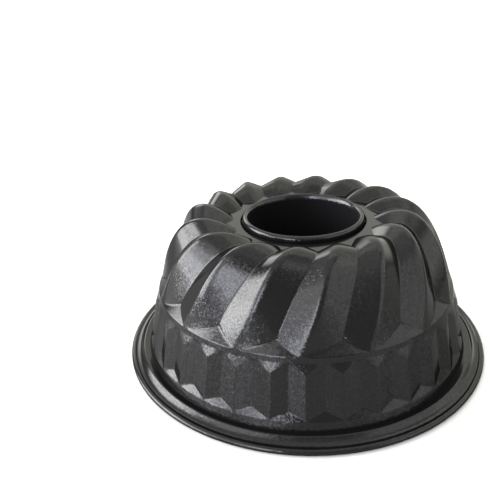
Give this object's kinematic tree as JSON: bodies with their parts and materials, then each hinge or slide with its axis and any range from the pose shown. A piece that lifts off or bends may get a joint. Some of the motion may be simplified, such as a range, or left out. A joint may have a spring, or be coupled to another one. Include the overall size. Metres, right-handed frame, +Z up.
{
  "type": "mini fluted tube pan",
  "caption": "Small round cake mould of dark coated sheet steel, upside down: swirling flutes above an upright-fluted wall, curled rim and an open tapered centre tube.",
  "frame": {"origin": "on the table under the middle of the pan, in the plane of the rim's resting face", "axes": "+Z up along the tube's axis through the crown, +X and +Y across the rim, with a ridge of the wall on +X"},
  "size_m": [0.115, 0.115, 0.0454],
  "materials": {
    "body_coating": "dark grey non-stick coating with a fine metallic flake, semi-gloss",
    "tube_coating": "dark grey non-stick coating with a fine metallic flake, semi-gloss"
  },
  "bodies": {
    "root": {"fluted_body": "body_coating", "centre_tube": "tube_coating"}
  },
  "joints": []
}
